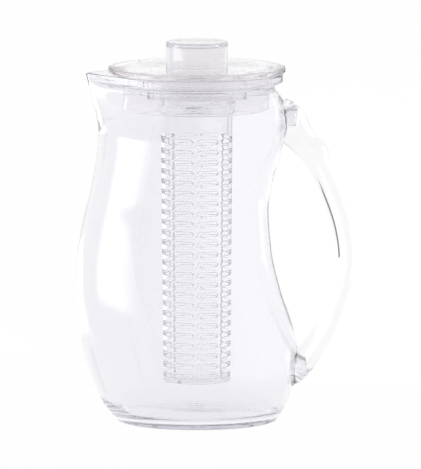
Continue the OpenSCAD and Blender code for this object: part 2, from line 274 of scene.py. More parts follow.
# Small profiles, as radius and height from the place that each one is added to
GATE_MARK = [(0, -0.9), (1.3, -0.9), (1.6, -0.6), (1.7, 0.45), (4.6, 0.45), (5.0, 0.3), (5.3, 0)]
GATE_FIELD_R = 6
DISH_EDGE = 1
FOOT_IN_EDGE = [(-0.4, 0.3), (0.2, 0.06), (0.9, 0)]
FOOT_OUT_EDGE = [(-1.2, 0), (-0.3, 0.08), (0.45, 0.4)]
WELL = [(0, 0), (4.5, 0.7), (8.5, 2.7), (11.6, 5.9)]
WELL_TOP = 2.8 * BASE_T
NECK_END = 2
# Shares of the way from the neck out to the band under the rim
BAND_BLEND = (0.4, 0.75, 0.92)
BAND_LOW_EDGE = [(-0.04, 0.2), (0, 0.7)]
RIM_OUT_EDGE = [(0, -1.0), (-0.12, -0.45), (-0.5, -0.1), (-1.0, 0)]
RIM_IN_EDGE = [(0.45, 0), (0.12, -0.12), (0, -0.5)]
STEP_EDGE = [(0, 0.7), (-0.25, 0.15)]
LEDGE = [(MOUTH_R - 0.9, 0), (NECK_BORE_R + 0.7, 0), (NECK_BORE_R + 0.15, -0.2),
         (NECK_BORE_R, -0.7)]


def body_rows():
    """Rows of height, radius, bow, spout circle's radius and reach, from foot to neck."""
    rows = [(z * SHOULDER_H, r * BELLY_R, c * BOW, r * BELLY_R, r * BELLY_R + c * BOW)
            for z, r, c in BODY_SHARES]
    for z, r, tip, reach in NECK_SHARES:
        rows.append((SHOULDER_H + z * (RIM_H - SHOULDER_H),
                     NECK_OUT_R + r * (SHOULDER_R - NECK_OUT_R),
                     max(0, 1 - BOW_FADE * z) * SHOULDER_BOW,
                     SPOUT_TIP_R + tip * (SHOULDER_R - SPOUT_TIP_R),
                     SHOULDER_REACH + reach * (SPOUT_REACH - SHOULDER_REACH)))
    return rows


def round_row(z, r):
    """A row that is a plain circle."""
    return (z, r, 0, r, r)


def ring_angles():
    """Angles of a ring's points, closer together round the spout's tip at 180 degrees."""
    fan = [180 + FAN_DEG * i / FAN_STEPS * abs(i / FAN_STEPS) ** FAN_CROWD
           for i in range(-FAN_STEPS, FAN_STEPS + 1)]
    rest = [180 + FAN_DEG + (360 - 2 * FAN_DEG) * i / ROUND_STEPS for i in range(1, ROUND_STEPS)]
    return [math.radians(a) for a in fan + rest]


ANGLES = ring_angles()
FOOT_EDGE = round_row(1.0, FOOT_R + 1.0)
WIDEST = BELLY_SHARE * BELLY_R - INSET


def held_in(row):
    """The row kept inside the solid's own width and reach."""
    z, big, bow, tip, reach = row
    over = max(0, big - WIDEST)
    far = max(0, big - over + bow - BODY_LEFT + INSET)
    return (z, big - over, bow - far, tip - over, reach - over - far)


SKIN_ROWS = [held_in(row) for row in smoothed([FOOT_EDGE] + body_rows(), SKIN_STEPS)]


def ring(row):
    """A row's points: the round body, drawn out to the spout's tip where that reaches further."""
    z, big, bow, tip, reach = row
    apart = reach - tip - bow
    pulled = apart > abs(big - tip) + 1e-6
    beta = math.acos(max(-1, min(1, (big - tip) / apart))) if pulled else 0
    points = []
    for a in ANGLES:
        off = abs(a % (2 * math.pi) - math.pi)
        d = big
        if pulled and off < beta:
            d = big / math.cos(beta - off)
            if d * math.sin(beta - off) > apart * math.sin(beta):
                across = apart * math.sin(off)
                d = apart * math.cos(off) + math.sqrt(max(0, tip ** 2 - across ** 2))
        points.append((-bow + d * math.cos(a), d * math.sin(a), z))
    return points


def inner_row(row):
    """The inside of a row. The wall thins towards the spout's tip."""
    z, big, bow, tip, reach = row
    wall = WALL - SPOUT_THINNING * max(0, min(1, (big - tip) / (big - SPOUT_TIP_R)))
    return (z, big - WALL, bow, max(tip - wall, WALL / 2), reach - wall)


def edged(row, edge):
    """The row repeated along a small profile, grown and lifted by each of its points."""
    z, big, bow, tip, reach = row
    return [(z + dz, big + dr, bow, tip + dr, reach + dr) for dr, dz in edge]


def mix(a, b, t=0.5):
    """A row part of the way from one row to another."""
    return tuple(p + t * (q - p) for p, q in zip(a, b))


def jug_rows():
    """Every ring of the jug, from under the base, up the outside and down the inside."""
    dish = [(s * DISH_R, PUSH_UP * z) for s, z in smoothed(DISH_SHARES, DISH_STEPS)]
    dish_end = DISH_R - DISH_EDGE
    under = [round_row(PUSH_UP + z, r) for r, z in GATE_MARK]
    under += [round_row(z, r) for r, z in dish if GATE_FIELD_R < r < dish_end]
    foot = [round_row(z, DISH_R + r) for r, z in FOOT_IN_EDGE]
    foot += [round_row(z, FOOT_R + r) for r, z in FOOT_OUT_EDGE]

    base = (BAND_LOW, RIM_OUT_R, 0, SPOUT_TIP_R, BAND_REACH)
    top = (RIM_H, RIM_OUT_R, 0, SPOUT_TIP_R, SPOUT_REACH)
    band = [mix(SKIN_ROWS[-1], base, t) for t in BAND_BLEND]
    band += edged(base, BAND_LOW_EDGE) + [mix(base, top)] + edged(top, RIM_OUT_EDGE)

    tip = SPOUT_TIP_R - SPOUT_WALL
    step = (BAND_LOW, MOUTH_R, 0, tip, BAND_REACH - SPOUT_WALL)
    mouth = (RIM_H, MOUTH_R, 0, tip, SPOUT_REACH - SPOUT_WALL)
    rim = edged(mouth, RIM_IN_EDGE) + [mix(step, mouth)] + edged(step, STEP_EDGE)
    rim += [(BAND_LOW + z, r, 0, tip, BAND_REACH - SPOUT_WALL) for r, z in LEDGE]

    inside = [inner_row(r) for r in SKIN_ROWS if WELL_TOP < r[0] < BAND_LOW - NECK_END]
    floor = [round_row(BASE_T + z, DISH_R + r) for r, z in WELL[::-1]]
    floor += [round_row(BASE_T + z, r) for r, z in dish[::-1] if r < dish_end]
    return under + foot + SKIN_ROWS + band + rim + inside[::-1] + floor


def wall_out(y, z):
    """How far out from the axis the jug's outer wall lies on the handle's side."""
    i = 0
    while i < len(SKIN_ROWS) - 2 and SKIN_ROWS[i + 1][0] < z:
        i += 1
    a, b = SKIN_ROWS[i], SKIN_ROWS[i + 1]
    t = (z - a[0]) / (b[0] - a[0])
    big, bow = a[1] + t * (b[1] - a[1]), a[2] + t * (b[2] - a[2])
    return -bow + math.sqrt(max(0, big ** 2 - y ** 2))


STUD_R = 6.4
STUD_OUT = 6
# Heights of the handle's joints, and how far the lower stud stands above its joint
TOP_H = 212
LOW_H = 35
LOW_RISE = 3
SIDES = 48


def stud(h):
    """A closed boss on the jug's wall, which the handle's socket takes."""
    end = wall_out(0, h) + STUD_OUT
    # Radius, and how far out it lies, where None is on the wall
    rims = [(0.4, None), (STUD_R - 0.05, None), (STUD_R, end - 0.5), (STUD_R - 0.15, end - 0.15),
            (STUD_R - 0.5, end), (0.3, end)]
    verts = []
    for r, x in rims:
        for k in range(SIDES):
            a = 2 * math.pi * k / SIDES
            y, z = r * math.sin(a), h + r * math.cos(a)
            verts.append((wall_out(y, z) + BOND / 2 if x is None else x, y, z))
    faces = grid_faces(len(rims), SIDES)
    faces.append(tuple(range(SIDES)))
    faces.append(tuple((len(rims) - 1) * SIDES + k for k in range(SIDES)))
    return verts, faces


def make_jug():
    rows = jug_rows()
    verts = [p for row in rows for p in ring(row)]
    shell = (verts, grid_faces(len(rows), len(ANGLES)))
    verts, faces = joined([shell, stud(TOP_H), stud(LOW_H + LOW_RISE)])
    return finish_mesh("jug_shell", verts, faces, "jug", ["jug_body"])


# Handle

GRIP_T = 14.5
GRIP_W = 23
# Power of the handle's oval section, where 1 is a plain ellipse
OVAL = 0.8
# Stations from the upper joint to the lower one: out and up as shares of the way, and
# half thickness outwards and inwards and half width as shares of GRIP_T and GRIP_W
HANDLE_SHARES = [
    (-0.02, 1.000, 1.07, 1.07, 0.62), (0.12, 0.986, 1.00, 1.00, 0.61),
    (0.24, 0.952, 0.84, 0.84, 0.58), (0.37, 0.910, 0.66, 0.70, 0.55),
    (0.50, 0.861, 0.82, 0.57, 0.53), (0.60, 0.809, 0.60, 0.51, 0.51),
    (0.76, 0.714, 0.49, 0.49, 0.50), (0.93, 0.584, 0.50, 0.50, 0.50),
    (1.00, 0.452, 0.50, 0.50, 0.50), (0.96, 0.352, 0.50, 0.50, 0.50),
    (0.83, 0.256, 0.52, 0.52, 0.50), (0.71, 0.169, 0.53, 0.53, 0.51),
    (0.56, 0.104, 0.55, 0.55, 0.53), (0.42, 0.056, 0.60, 0.60, 0.55),
    (0.27, 0.018, 0.73, 0.73, 0.57), (0.10, 0.000, 0.86, 0.86, 0.58),
    (-0.02, 0.000, 0.90, 0.90, 0.58)]
HANDLE_IN = min(wall_out(0, TOP_H), wall_out(0, LOW_H)) - 2 * WALL
HANDLE_OUT = HANDLE_REACH - GRIP_T / 2 - 0.05
HANDLE_ROWS = [(HANDLE_IN + x * (HANDLE_OUT - HANDLE_IN), LOW_H + z * (TOP_H - LOW_H),
                out * GRIP_T, inn * GRIP_T, w * GRIP_W) for x, z, out, inn, w in HANDLE_SHARES]
HANDLE_LAST = len(HANDLE_ROWS) - 1
# Stations between which the skin is free of the wall's cut, and the rows of each stretch
FREE_FROM = 2.6
FREE_TO = HANDLE_LAST - 2.4
FREE_STEPS = 66
JOINT_STEPS = 12
# How far to each side of a station the handle's direction is read
LOOK = 0.2


def squared(v):
    return math.copysign(abs(v) ** OVAL, v)


def handle_row(t):
    i = min(int(t), HANDLE_LAST - 1)
    return smooth(HANDLE_ROWS, i, t - i)


def handle_point(t, a):
    """A point of the handle's skin, t stations along it and at angle a round it."""
    p = handle_row(t)
    before, after = handle_row(max(t - LOOK, 0)), handle_row(min(t + LOOK, HANDLE_LAST))
    dx, dz = after[0] - before[0], after[1] - before[1]
    run = math.hypot(dx, dz)
    out = squared(math.cos(a))
    off = out * (p[2] if out > 0 else p[3])
    return (p[0] - off * dz / run, squared(math.sin(a)) * p[4], p[1] + off * dx / run)


def meets_wall(a, inside, outside):
    """Where a line along the handle's skin meets the jug, between two stations."""
    for _ in range(30):
        t = (inside + outside) / 2
        x, y, z = handle_point(t, a)
        if x < wall_out(y, z) + BOND:
            inside = t
        else:
            outside = t
    return outside


def handle_end(h, up):
    """The ring on the wall's socket for the stud, its floor and its middle."""
    deep = wall_out(0, h) + STUD_OUT + BOND
    rows = []
    for r, x in ((STUD_R + BOND, None), (STUD_R + BOND, deep), (0, deep)):
        row = []
        for k in range(SIDES):
            a = 2 * math.pi * k / SIDES
            y, z = r * math.sin(a), h + up * r * math.cos(a)
            row.append((wall_out(y, z) + BOND if x is None else x, y, z))
        rows.append(row)
    return rows


def make_handle():
    turn = [2 * math.pi * k / SIDES for k in range(SIDES)]
    tops = [meets_wall(a, 0, FREE_FROM) for a in turn]
    lows = [meets_wall(a, HANDLE_LAST, FREE_TO) for a in turn]
    rows = handle_end(TOP_H, 1)[::-1]
    for j in range(JOINT_STEPS):
        rows.append([handle_point(t + (FREE_FROM - t) * j / JOINT_STEPS, a)
                     for t, a in zip(tops, turn)])
    for j in range(FREE_STEPS + 1):
        t = FREE_FROM + (FREE_TO - FREE_FROM) * j / FREE_STEPS
        rows.append([handle_point(t, a) for a in turn])
    for j in range(1, JOINT_STEPS + 1):
        rows.append([handle_point(FREE_TO + (t - FREE_TO) * j / JOINT_STEPS, a)
                     for t, a in zip(lows, turn)])
    rows += handle_end(LOW_H + LOW_RISE, -1)
    verts = [p for row in rows for p in row]
    faces = grid_faces(len(rows), SIDES)
    return finish_mesh("loop_handle", verts, faces, "jug", ["handle"])


# Lid, knob and seal

SKIRT_R = NECK_BORE_R - 1.7
LIP_R = MOUTH_R - 0.5
LID_WALL = 2
LIP_H = 6.2
KNOB_WALL = 2.2
KNOB_TOP = 2.6
POUR_GAP = 90
SEAL_GAP = 0.35
SEAL_EDGE = 0.25


def lid_outline():
    """The lid's whole section, with its skirt, its lip and the groove for the knob."""
    low = LID_LOW
    skirt_in, lip_in = SKIRT_R - LID_WALL, LIP_R - LID_WALL
    groove_low, groove_in, groove_out = KNOB_LOW - TOUCH, KNOB_R - KNOB_WALL - BOND, KNOB_R + BOND
    return filleted([
        (0, low, 0), (skirt_in, low, 0.8), (skirt_in, SKIRT_LOW, 0.5), (SKIRT_R, SKIRT_LOW, 0.9),
        (SKIRT_R, low, 0.6), (lip_in, low, 0.6), (lip_in, low - LIP_H, 0.6),
        (LIP_R, low - LIP_H, 0.9), (LIP_R, low, 0.25), (LID_R, low, 0.5), (LID_R, LID_HIGH, 1.4),
        (groove_out, LID_HIGH, 0.15), (groove_out, groove_low, 0.15), (groove_in, groove_low, 0.15),
        (groove_in, LID_HIGH, 0.15), (0, LID_HIGH, 0)], 5)


def without_lip(full):
    """The section with the lip's points laid flat along the plate's underside."""
    between = (SKIRT_R + LIP_R - LID_WALL) / 2
    lip = [i for i, (r, z) in enumerate(full) if z < LID_LOW - 0.001 and r > between]
    start, end = full[lip[0] - 1][0], full[lip[-1] + 1][0]
    bare = list(full)
    for n, i in enumerate(lip):
        bare[i] = (start + (n + 1) / (len(lip) + 1) * (end - start), LID_LOW)
    return bare


def make_lid():
    """The plate with its skirt and its lip, which is open over the pouring gap."""
    full = lid_outline()
    bare = without_lip(full)
    columns = []
    for k in range(SEGMENTS):
        deg = 360 * k / SEGMENTS
        off = abs(deg - 180) - POUR_GAP / 2
        if abs(off) < 0.01:
            both = [(deg, full), (deg, bare)]
            columns += both if deg < 180 else both[::-1]
        else:
            columns.append((deg, full if off > 0 else bare))
    verts = [p for deg, outline in columns for p in round_about(outline, [deg])]
    faces = grid_faces(len(columns), len(full), wrap=False, closed=True)
    return finish_mesh("lid_plate", verts, faces, "lid_assembly", ["lid"])


def make_knob():
    inner, ceiling = KNOB_R - KNOB_WALL, KNOB_HIGH - KNOB_TOP
    outline = filleted([(0, KNOB_HIGH, 0), (KNOB_R, KNOB_HIGH, 1.2), (KNOB_R, KNOB_LOW, 0.3),
                        (inner, KNOB_LOW, 0.3), (inner, ceiling, 1.6), (0, ceiling, 0)], 6)
    return lathe("knob", outline, "lid_assembly", ["lid_knob"], SMALL_SEGMENTS)


def edged_ring(inner, outer, low, high, edge):
    return filleted([(inner, low, edge), (outer, low, edge), (outer, high, edge),
                     (inner, high, edge)], 4)


def make_seal():
    outline = edged_ring(LIP_R + SEAL_GAP, SEAL_R, RIM_H + TOUCH, LID_LOW - TOUCH, SEAL_EDGE)
    return lathe("seal_ring", outline, "seal", ["lid_seal"], SEGMENTS)


# Infuser

THREAD_PITCH = 4
THREAD_DEPTH = 1
THREAD_ROOT = 1.6
THREAD_CREST = 0.8
# Turns over which a thread's end rises out of its wall
THREAD_EASE = 0.05
THREAD_STEP = 0.2
SOCKET_BORE_R = COLLAR_CREST_R + 0.3
SOCKET_WALL = 1.7
SOCKET_WEB = 2
COLLAR_EDGE = 0.25
JOURNAL_R = 24.6
JOURNAL_GAP = 0.08
TUBE_TOP_R = 25.2
BORE_TOP_R = 22.8
BORE_LOW_R = 21.4
HANGER_T = 1.6
COLLAR_TURNS = 2.4
SOCKET_TURNS = 1.6
COLLAR_START = COLLAR_HIGH - THREAD_ROOT / 2 - COLLAR_TURNS * THREAD_PITCH
SOCKET_START = SOCKET_LOW + THREAD_ROOT / 2
# The angle at which the socket's thread runs half a pitch above the collar's
SOCKET_START_DEG = 360 * (SOCKET_START - COLLAR_START) / THREAD_PITCH + 180


def thread_rise(deg, z, low, turns, start_deg):
    """How far a helical rib stands proud at an angle and height, from 0 to 1."""
    best = 0
    flank = (THREAD_ROOT - THREAD_CREST) / 2
    turn = (deg - start_deg) % 360 / 360
    while turn <= turns:
        side = (THREAD_ROOT / 2 - abs(z - low - THREAD_PITCH * turn)) / flank
        rise = max(0, min(1, side, turn / THREAD_EASE, (turns - turn) / THREAD_EASE))
        best = max(best, rise * rise * (3 - 2 * rise))
        turn += 1
    return best


def threaded(name, outline, wall_r, sign, low, turns, start_deg, body, node):
    """A lathed outline whose wall at wall_r carries a helical rib."""
    verts = []
    for r, z in outline:
        for k in range(SEGMENTS):
            deg = 360 * k / SEGMENTS
            here = r
            if abs(r - wall_r) < 0.001:
                here += sign * THREAD_DEPTH * thread_rise(deg, z, low, turns, start_deg)
            verts += round_about([(here, z)], [deg])
    faces = grid_faces(len(outline), SEGMENTS, closed=True)
    return finish_mesh(name, verts, faces, body, node)


def with_steps(outline, wall_r):
    """The outline with close points along its straight wall at wall_r."""
    out = []
    n = len(outline)
    for i, (r, z) in enumerate(outline):
        out.append((r, z))
        r2, z2 = outline[(i + 1) % n]
        on_wall = abs(r - wall_r) < 0.001 and abs(r2 - wall_r) < 0.001
        if on_wall and abs(z2 - z) > 2 * THREAD_STEP:
            m = int(abs(z2 - z) / THREAD_STEP)
            out += [(r, z + (z2 - z) * k / m) for k in range(1, m)]
    return out


def make_socket():
    top = LID_LOW - TOUCH
    web = LID_LOW - SOCKET_WEB
    inner, outer = SOCKET_BORE_R + SOCKET_WALL, SOCKET_R - SOCKET_WALL
    outline = filleted([
        (SOCKET_BORE_R, SOCKET_LOW, 0.3), (SOCKET_BORE_R, top, 0.3), (SOCKET_R, top, 0.3),
        (SOCKET_R, SOCKET_LOW, 0.5), (outer, SOCKET_LOW, 0.5), (outer, web, 0.8),
        (inner, web, 0.8), (inner, SOCKET_LOW, 0.3)], 4)
    return threaded("threaded_socket", with_steps(outline, SOCKET_BORE_R), SOCKET_BORE_R, -1,
                    SOCKET_START, SOCKET_TURNS, SOCKET_START_DEG, "lid_assembly",
                    ["infuser_socket"])


def make_collar():
    root = COLLAR_CREST_R - THREAD_DEPTH
    outline = edged_ring(JOURNAL_R + JOURNAL_GAP, root, COLLAR_LOW, COLLAR_HIGH, COLLAR_EDGE)
    return threaded("threaded_collar", with_steps(outline, root), root, 1, COLLAR_START,
                    COLLAR_TURNS, 0, "collar", ["infuser_collar"])


SLOT_ROWS = 24
SLOT_COLS = 8
SLOT_PITCH = 7.17
SLOT_H = 3.1
SLOT_RIB = 3.2
SLOT_FIRST = 3
SLOT_TURN = 19.5
SLOT_EDGE = 0.3
# Points along a slot's straight side and round its end
SLOT_LONG = 8
SLOT_END = 8
JOURNAL_LOW = COLLAR_LOW - 0.1
JOURNAL_EDGE = 0.25
# Roundings of the tube's two ends, each with the place of its middle point
TUBE_LOW_EDGE, TUBE_LOW_EDGE_MID = 0.3, 0.08
TUBE_TOP_EDGE, TUBE_TOP_EDGE_MID = 0.4, 0.12

# Each slot has a cell of the wall to itself. Half its width in degrees and that of the
# slot's straight part, and the points of its border
CELL_DEG = 180 / SLOT_COLS
SLOT_HALF = CAP_R * math.sin(math.radians(CELL_DEG)) - SLOT_RIB / 2 - SLOT_H / 2
SLOT_DEG = math.degrees(math.asin(SLOT_HALF / ((CAP_R + TUBE_TOP_R) / 2)))
CELL_CORNER = SLOT_END // 4
CELL_POINTS = 2 * SLOT_LONG + 2 * SLOT_END
CELLS_LOW = TUBE_LOW + TUBE_LOW_EDGE
CELLS_HIGH = TUBE_LOW + SLOT_FIRST + (SLOT_ROWS - 0.5) * SLOT_PITCH


def tube_out(z):
    return CAP_R + (TUBE_TOP_R - CAP_R) * (z - TUBE_LOW) / (JOURNAL_LOW - TUBE_LOW)


def tube_in(z):
    return BORE_LOW_R + (BORE_TOP_R - BORE_LOW_R) * (z - TUBE_LOW) / (TUBE_HIGH - TUBE_LOW)


def slot_outline(grow):
    """A stadium slot as (across, up) points, grown by grow."""
    r = SLOT_H / 2 + grow
    across = [-SLOT_HALF + 2 * SLOT_HALF * k / SLOT_LONG for k in range(SLOT_LONG)]
    out = [(x, r) for x in across]
    out += [(SLOT_HALF + x, y) for x, y in arc(r, 90, -90, SLOT_END)]
    out += [(-x, -r) for x in across]
    out += [(-SLOT_HALF + x, y) for x, y in arc(r, -90, -270, SLOT_END)]
    return out


def cell_border(low, high):
    """The border of one slot's cell as (degrees, height), point for point with its outline."""
    n, rise = CELL_CORNER, high - low
    wide = CELL_DEG - SLOT_DEG
    out = [(-SLOT_DEG + 2 * SLOT_DEG * k / SLOT_LONG, high) for k in range(SLOT_LONG)]
    out += [(SLOT_DEG + wide * k / n, high) for k in range(n)]
    out += [(CELL_DEG, high - rise * k / (2 * n)) for k in range(2 * n)]
    out += [(CELL_DEG - wide * k / n, low) for k in range(n)]
    out += [(SLOT_DEG - 2 * SLOT_DEG * k / SLOT_LONG, low) for k in range(SLOT_LONG)]
    out += [(-SLOT_DEG - wide * k / n, low) for k in range(n)]
    out += [(-CELL_DEG, low + rise * k / (2 * n)) for k in range(2 * n)]
    out += [(-CELL_DEG + wide * k / n, high) for k in range(n)]
    return out


def slot_rings(surface, way, mid, z0, border):
    """One slot's rings of (angle, height, radius) on a surface, from its cell's border in.

    way is 1 on the tube's outside and -1 on its inside, where they run the other way.
    """
    edge = [(math.radians(mid + d), z, surface(z)) for d, z in border]
    mouth, wall = [], []
    for (sx, sz), (bx, bz) in zip(slot_outline(SLOT_EDGE), slot_outline(0)):
        r = surface(z0 + sz)
        mouth.append((math.radians(mid) + math.asin(sx / r), z0 + sz, r))
        r = surface(z0 + bz) - way * SLOT_EDGE
        wall.append((math.radians(mid) + math.asin(bx / r), z0 + bz, r))
    between = [((a + b) / 2, (z + y) / 2, surface((z + y) / 2))
               for (a, z, _), (b, y, _) in zip(edge, mouth)]
    return [edge, between, mouth, wall][::way]


def slot_cells():
    """Every slot with the wall round it, as (points, faces)."""
    parts = []
    for i in range(SLOT_ROWS):
        z0 = TUBE_LOW + SLOT_FIRST + i * SLOT_PITCH
        low = CELLS_LOW if i == 0 else z0 - SLOT_PITCH / 2
        border = cell_border(low, z0 + SLOT_PITCH / 2)
        for k in range(SLOT_COLS):
            mid = SLOT_TURN + 2 * CELL_DEG * k
            rows = (slot_rings(tube_out, 1, mid, z0, border)
                    + slot_rings(tube_in, -1, mid, z0, border))
            verts = [(r * math.cos(a), r * math.sin(a), z) for row in rows for a, z, r in row]
            parts.append((verts, grid_faces(len(rows), CELL_POINTS)))
    return parts


def tube_ends():
    """The plain wall under and over the slots, which meets the cells point for point."""
    turn = []
    wide = CELL_DEG - SLOT_DEG
    for k in range(SLOT_COLS):
        mid = SLOT_TURN + 2 * CELL_DEG * k
        turn += [mid - CELL_DEG + wide * j / CELL_CORNER for j in range(CELL_CORNER)]
        turn += [mid - SLOT_DEG + 2 * SLOT_DEG * j / SLOT_LONG for j in range(SLOT_LONG)]
        turn += [mid + SLOT_DEG + wide * j / CELL_CORNER for j in range(CELL_CORNER)]

    outer, inner = tube_out(TUBE_LOW), tube_in(TUBE_LOW)
    foot = [(tube_out(CELLS_LOW), CELLS_LOW),
            (outer - TUBE_LOW_EDGE_MID, TUBE_LOW + TUBE_LOW_EDGE_MID),
            (outer - TUBE_LOW_EDGE, TUBE_LOW), (inner + TUBE_LOW_EDGE, TUBE_LOW),
            (inner + TUBE_LOW_EDGE_MID, TUBE_LOW + TUBE_LOW_EDGE_MID),
            (tube_in(CELLS_LOW), CELLS_LOW)]

    top, high = CELLS_HIGH, TUBE_HIGH
    hang = high - HANGER_T
    half_out, half_in = (top + JOURNAL_LOW) / 2, (top + high) / 2
    head = [(tube_out(top), top), (tube_out(half_out), half_out),
            (TUBE_TOP_R, JOURNAL_LOW - JOURNAL_EDGE), (TUBE_TOP_R - JOURNAL_EDGE, JOURNAL_LOW),
            (JOURNAL_R, JOURNAL_LOW), (JOURNAL_R, (JOURNAL_LOW + hang) / 2), (JOURNAL_R, hang),
            (HANGER_R - JOURNAL_EDGE, hang), (HANGER_R, hang + JOURNAL_EDGE),
            (HANGER_R, high - TUBE_TOP_EDGE),
            (HANGER_R - TUBE_TOP_EDGE_MID, high - TUBE_TOP_EDGE_MID),
            (HANGER_R - TUBE_TOP_EDGE, high), (BORE_TOP_R + TUBE_TOP_EDGE, high),
            (BORE_TOP_R + TUBE_TOP_EDGE_MID, high - TUBE_TOP_EDGE_MID),
            (tube_in(high - TUBE_TOP_EDGE), high - TUBE_TOP_EDGE),
            (tube_in(half_in), half_in), (tube_in(top), top)]
    return [(round_about(outline, turn), grid_faces(len(outline), len(turn)))
            for outline in (foot, head)]


def make_tube():
    """The slotted tube. The cut walls of its slots take the second material, whose darker tint is
    painted shade along the slots' edges.
    """
    cells = slot_cells()
    verts, faces = joined(cells + tube_ends())
    per_cell = len(cells[0][1])
    cut_wall = range(3 * CELL_POINTS, 4 * CELL_POINTS)
    # Faces of the slots' cut walls, which take the rougher material with the painted shade
    matt_shaded = [per_cell * i + k for i in range(len(cells)) for k in cut_wall]
    return finish_mesh("slotted_tube", verts, faces, "infuser", ["infuser_tube"],
                       matt_shaded)


def make_end_cap():
    plug, brim = BORE_LOW_R - BOND, TUBE_LOW - TOUCH
    outline = filleted([(0, CAP_LOW, 0), (CAP_R, CAP_LOW, 0.6), (CAP_R, brim, 0.2),
                        (plug, brim, 0.05), (plug, CAP_HIGH, 0.3), (0, CAP_HIGH, 0)], 5)
    return lathe("tube_end_cap", outline, "infuser", ["infuser_end_cap"],
                 SMALL_SEGMENTS)


# Materials

IOR = 1.49
WAVE_STRENGTH = 0.35
POLISH_SCALE = 55
VIOLET = (0.75, 0.74, 0.80)
ROSE = (0.79, 0.75, 0.78)
# Tint, roughness, the flow waves' scale and depth in millimetres, and the colour and
# density of what the plastic absorbs
FINISHES = {
    "jug_plastic": ((0.946, 0.942, 0.966), 0.03, 9, 0.5, VIOLET, 14),
    "handle_plastic": ((0.990, 0.990, 0.995), 0.03, 14, 0.4, VIOLET, 6),
    "lid_plastic": ((0.998, 0.992, 0.996), 0.03, 14, 0.25, ROSE, 9),
    "knob_plastic": ((0.90, 0.89, 0.91), 0.03, 30, 0.15, VIOLET, 14),
    "socket_plastic": ((0.999, 0.997, 0.999), 0.05, 30, 0.1, VIOLET, 2),
    "infuser_plastic": ((0.998, 0.997, 0.999), 0.03, 20, 0.1, VIOLET, 3),
    # The slot walls' darker tint is painted shade that draws dark lines along the slots. They are
    # also rougher than the rest of the tube.
    "slot_edge_painted_shade": ((0.90, 0.89, 0.91), 0.2, 20, 0.1, VIOLET, 3),
    "end_cap_plastic": ((0.970, 0.965, 0.975), 0.04, 30, 0.1, VIOLET, 4),
    "clear_silicone": ((0.93, 0.93, 0.94), 0.3, 60, 0.05, VIOLET, 60)}


def put(node, **values):
    """Sets a node's inputs, with each name's blanks written as underscores."""
    for name, value in values.items():
        node.inputs[name.replace("_", " ")].default_value = value


def noise(nodes, links, scale, detail):
    """A noise over the object's own coordinates."""
    coords = nodes.new("ShaderNodeTexCoord")
    texture = nodes.new("ShaderNodeTexNoise")
    put(texture, Scale=scale, Detail=detail)
    links.new(coords.outputs["Object"], texture.inputs["Vector"])
    return texture.outputs["Fac"]


def clear_plastic(name, tint, roughness, wave_scale, wave_depth, absorb, density):
    """Clear moulded plastic: faint flow waves, a slightly uneven polish, a little absorption."""
    mat = bpy.data.materials.new(name)
    mat.use_nodes = True
    nodes, links = mat.node_tree.nodes, mat.node_tree.links
    shader = nodes["Principled BSDF"]
    put(shader, Base_Color=(*tint, 1), IOR=IOR, Transmission_Weight=1)
    bump = nodes.new("ShaderNodeBump")
    put(bump, Strength=WAVE_STRENGTH, Distance=wave_depth * MM)
    links.new(noise(nodes, links, wave_scale, 1.5), bump.inputs["Height"])
    links.new(bump.outputs["Normal"], shader.inputs["Normal"])
    spread = nodes.new("ShaderNodeMapRange")
    put(spread, From_Min=0.35, From_Max=0.75, To_Min=roughness * 0.4, To_Max=roughness)
    links.new(noise(nodes, links, POLISH_SCALE, 3), spread.inputs["Value"])
    links.new(spread.outputs["Result"], shader.inputs["Roughness"])
    volume = nodes.new("ShaderNodeVolumeAbsorption")
    put(volume, Color=(*absorb, 1), Density=density)
    links.new(volume.outputs["Volume"], nodes["Material Output"].inputs["Volume"])
    return mat


def give(piece, *mats):
    """Puts materials in a piece's slots in order. The faces keep their slot numbers."""
    slots = piece.data.materials
    for i, mat in enumerate(mats):
        if i < len(slots):
            slots[i] = mat
        else:
            slots.append(mat)


# Scene

FLOOR_HALF = 40
# How much of the floor's look to the camera and through the plastic is plain white
FLOOR_GLOW = 0.985

# Four-cornered glows in metres, from the lower left corner one round, with the radiance
# and the shares over which the left, right, lower and upper parts fade to nothing
PANELS = [
    ("window", [(-0.60, -0.64, 0), (-0.64, 0.16, 0), (-0.64, 0.16, 0.34), (-0.60, -0.64, 0.23)],
     4.6, (0.5, 0.2, 0.2, 0.25)),
    ("lit_floor", [(-0.248, 0.248, 0.001), (-1.27, 1.27, 0.001), (-0.53, 1.72, 0.001),
                   (-0.102, 0.335, 0.001)],
     1.7, (0.06, 0.25, 0.25, 0.25)),
    ("bright_floor", [(-0.02, 0.12, 0.001), (0.9, 0.12, 0.001), (0.9, 2.4, 0.001),
                      (-0.02, 2.4, 0.001)],
     1.08, (0.07, 0.3, 0.05, 0.3)),
    ("dark_room", [(-2.2, -1.6, 0.35), (2.2, -1.6, 0.35), (2.2, -1.6, 2.6), (-2.2, -1.6, 2.6)],
     0.4, (0.2, 0.2, 0.2, 0.2)),
    ("flag", [(0.28, 0.9, 0), (0.40, 0.9, 0), (0.40, 0.9, 0.19), (0.28, 0.9, 0.19)],
     0.25, (0.2, 0.2, 0.05, 0.2))]
# Panels that only reflections show, so that the jug isn't washed out from the other side
REFLECTED_ONLY = ["window"]

# The camera in metres, and the photograph's frame: its height, and a pixel in millimetres
CAMERA_DISTANCE = 8.0
CAMERA_RISE = math.radians(7.3)
CAMERA_TARGET = Vector(((AXIS_X + 9.5) * MM, 0, 0.1305))
SENSOR = 36
FRAME_H_PX = 469
PX = 0.7


def math_node(nodes, links, operation, *values):
    """A Math node's output, with each value a number or another node's output."""
    node = nodes.new("ShaderNodeMath")
    node.operation = operation
    for place, value in zip(node.inputs, values):
        if isinstance(value, (int, float)):
            place.default_value = value
        else:
            links.new(value, place)
    return node.outputs[0]


